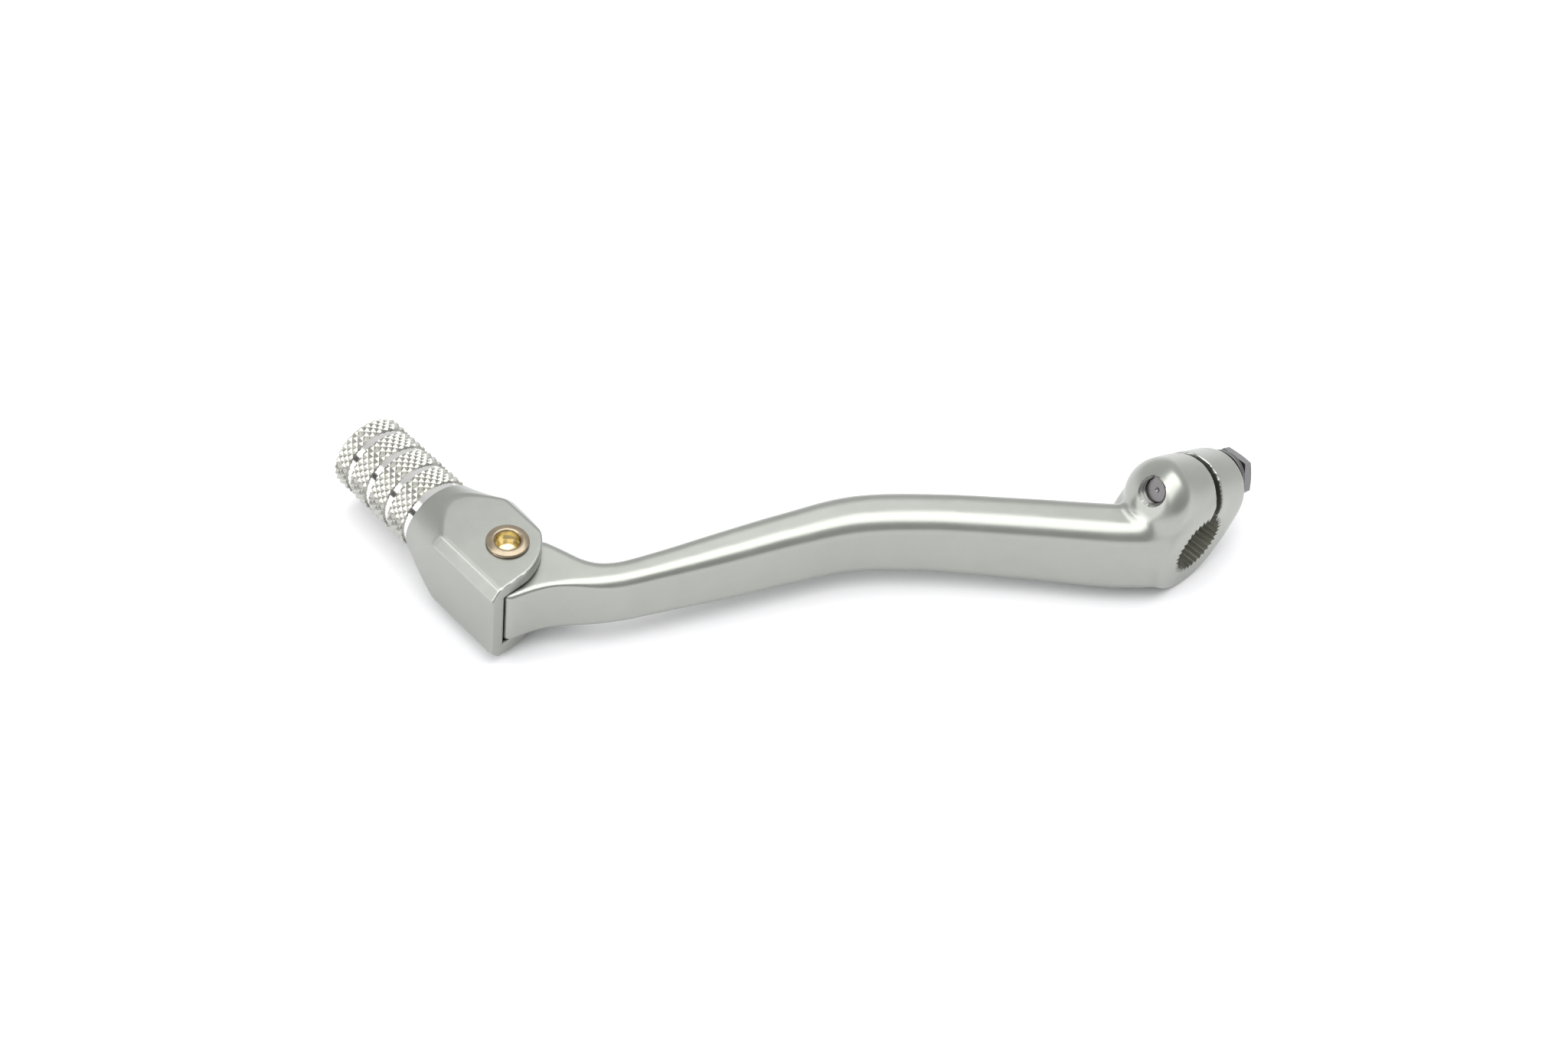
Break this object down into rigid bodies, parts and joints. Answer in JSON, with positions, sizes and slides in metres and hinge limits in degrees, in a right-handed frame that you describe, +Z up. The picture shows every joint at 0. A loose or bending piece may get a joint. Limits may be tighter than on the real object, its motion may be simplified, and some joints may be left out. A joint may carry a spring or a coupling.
{
  "type": "motorcycle gear-shift lever",
  "caption": "Forged gear-shift lever with a splined pinch clamp at one end and a sprung folding tip with a knurled toe peg at the other.",
  "frame": {"origin": "centre of the bounding box's base: the lever lies on its side, with the pivot rivet upright", "axes": "+X from the folding tip towards the splined clamp, +Y the way the toe peg points, +Z up along the pivot rivet"},
  "size_m": [0.1488, 0.1212, 0.03],
  "materials": {
    "forged_aluminium": "satin, bead blasted",
    "bright_peg": "bright machined, diamond knurled",
    "yellow_zinc": "bright yellow-passivated zinc on steel",
    "hard_steel": "plain ground steel",
    "zinc_steel": "zinc-plated steel",
    "black_steel": "black-oxide spring steel"
  },
  "bodies": {
    "lever": {"lever_arm": "forged_aluminium", "pinch_bolt": "zinc_steel", "spring_washer": "black_steel", "return_spring": "hard_steel"},
    "tip": {"tip_clevis": "forged_aluminium", "toe_peg": "bright_peg", "pivot_rivet": "yellow_zinc", "pivot_bush": "hard_steel"}
  },
  "joints": [
    {"name": "tip_fold", "type": "hinge", "parent": "lever", "child": "tip", "pos_m": [-0.06393, 0.01765, 0.0113], "axis": [0, 0, 1], "range_deg": [-55, 0], "stiffness_Nm_per_rad": 0.25, "springref_deg": 57.3, "deforming": ["return_spring"]}
  ]
}
